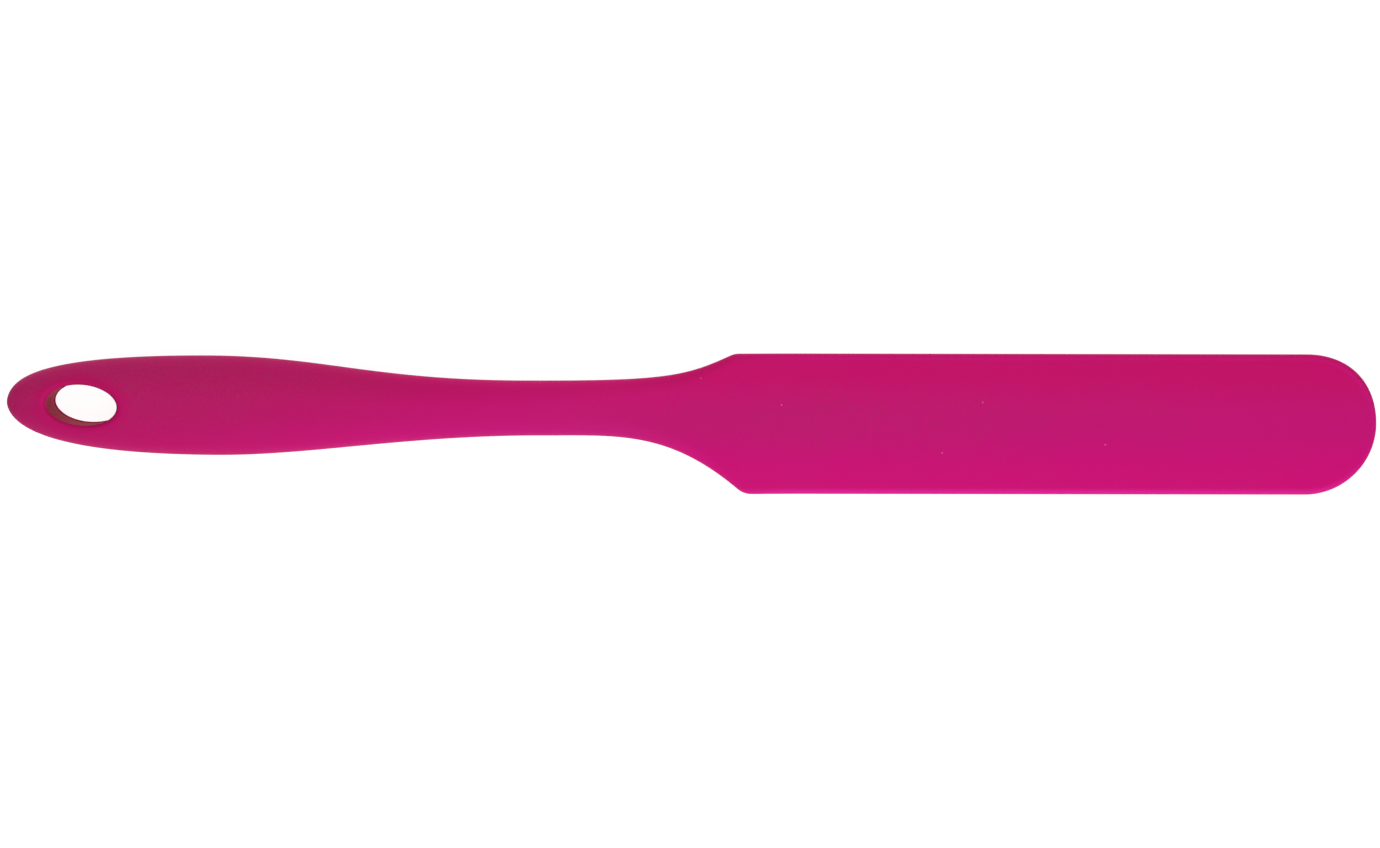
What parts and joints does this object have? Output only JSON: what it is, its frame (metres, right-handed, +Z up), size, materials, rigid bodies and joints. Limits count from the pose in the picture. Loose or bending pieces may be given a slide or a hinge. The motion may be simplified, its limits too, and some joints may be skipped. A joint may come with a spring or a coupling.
{
  "type": "offset spatula",
  "caption": "Flexible offset spatula: a flat round-ended blade on a cranked neck and a swelling grip with an oval hanging hole, all under one matte silicone skin.",
  "frame": {"origin": "on the surface the spatula lies on, under the middle of its length, on the blade's centre line", "axes": "+X from the butt to the blade's tip, +Y across the blade towards the side its handle lies nearer to, +Z up out of the blade's spreading face"},
  "size_m": [0.3, 0.031, 0.0148],
  "materials": {
    "silicone": "matte moulded silicone, magenta, with a fine soft grain",
    "nylon": "unpolished glass-filled nylon, dull red",
    "stainless": "rolled spring strip, satin",
    "rivet_steel": "headed steel, satin"
  },
  "bodies": {
    "root": {"silicone_skin": "silicone", "handle_core": "nylon", "blade_spring": "stainless", "tang_rivet_rear": "rivet_steel", "tang_rivet_front": "rivet_steel"}
  },
  "joints": []
}
